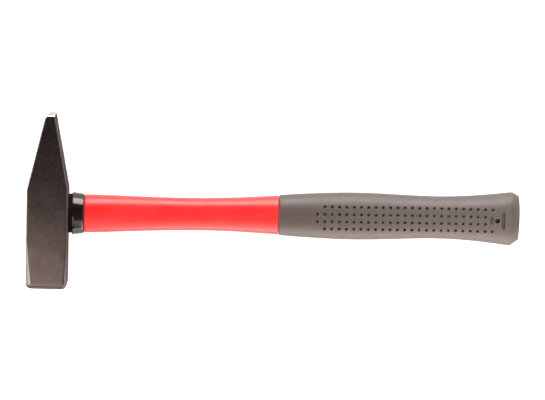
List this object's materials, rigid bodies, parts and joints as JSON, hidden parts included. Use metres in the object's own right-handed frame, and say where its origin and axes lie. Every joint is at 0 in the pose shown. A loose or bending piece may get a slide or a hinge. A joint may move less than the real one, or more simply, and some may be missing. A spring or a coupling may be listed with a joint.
{
  "type": "cross peen hammer",
  "caption": "Hand hammer with a square striking face, a chisel-shaped cross peen and a fibreglass handle with a plastic jacket and a dimpled rubber grip.",
  "frame": {"origin": "on the lower cheek of the head, straight below the point where the handle's axis crosses the middle of the eye", "axes": "the hammer lies on one cheek: +X along the handle from the head to the butt, +Y along the head from the striking face to the peen, +Z out of the upper cheek"},
  "size_m": [0.3324, 0.1181, 0.027],
  "materials": {
    "head_steel": "dark clear-lacquered forged steel, with a ground and polished striking face and peen",
    "core_fibreglass": "sawn end of a pultruded glass-fibre rod",
    "eye_epoxy": "poured dark epoxy with a slight meniscus",
    "gasket_rubber": "matt black rubber",
    "collar_plastic": "gloss black",
    "jacket_plastic": "satin-gloss red polypropylene",
    "grip_rubber": "matt warm-grey thermoplastic rubber with a fine grain"
  },
  "bodies": {
    "root": {"head": "head_steel", "fibreglass_core": "core_fibreglass", "eye_resin": "eye_epoxy", "neck_gasket": "gasket_rubber", "collar": "collar_plastic", "handle_jacket": "jacket_plastic", "grip": "grip_rubber"}
  },
  "joints": []
}
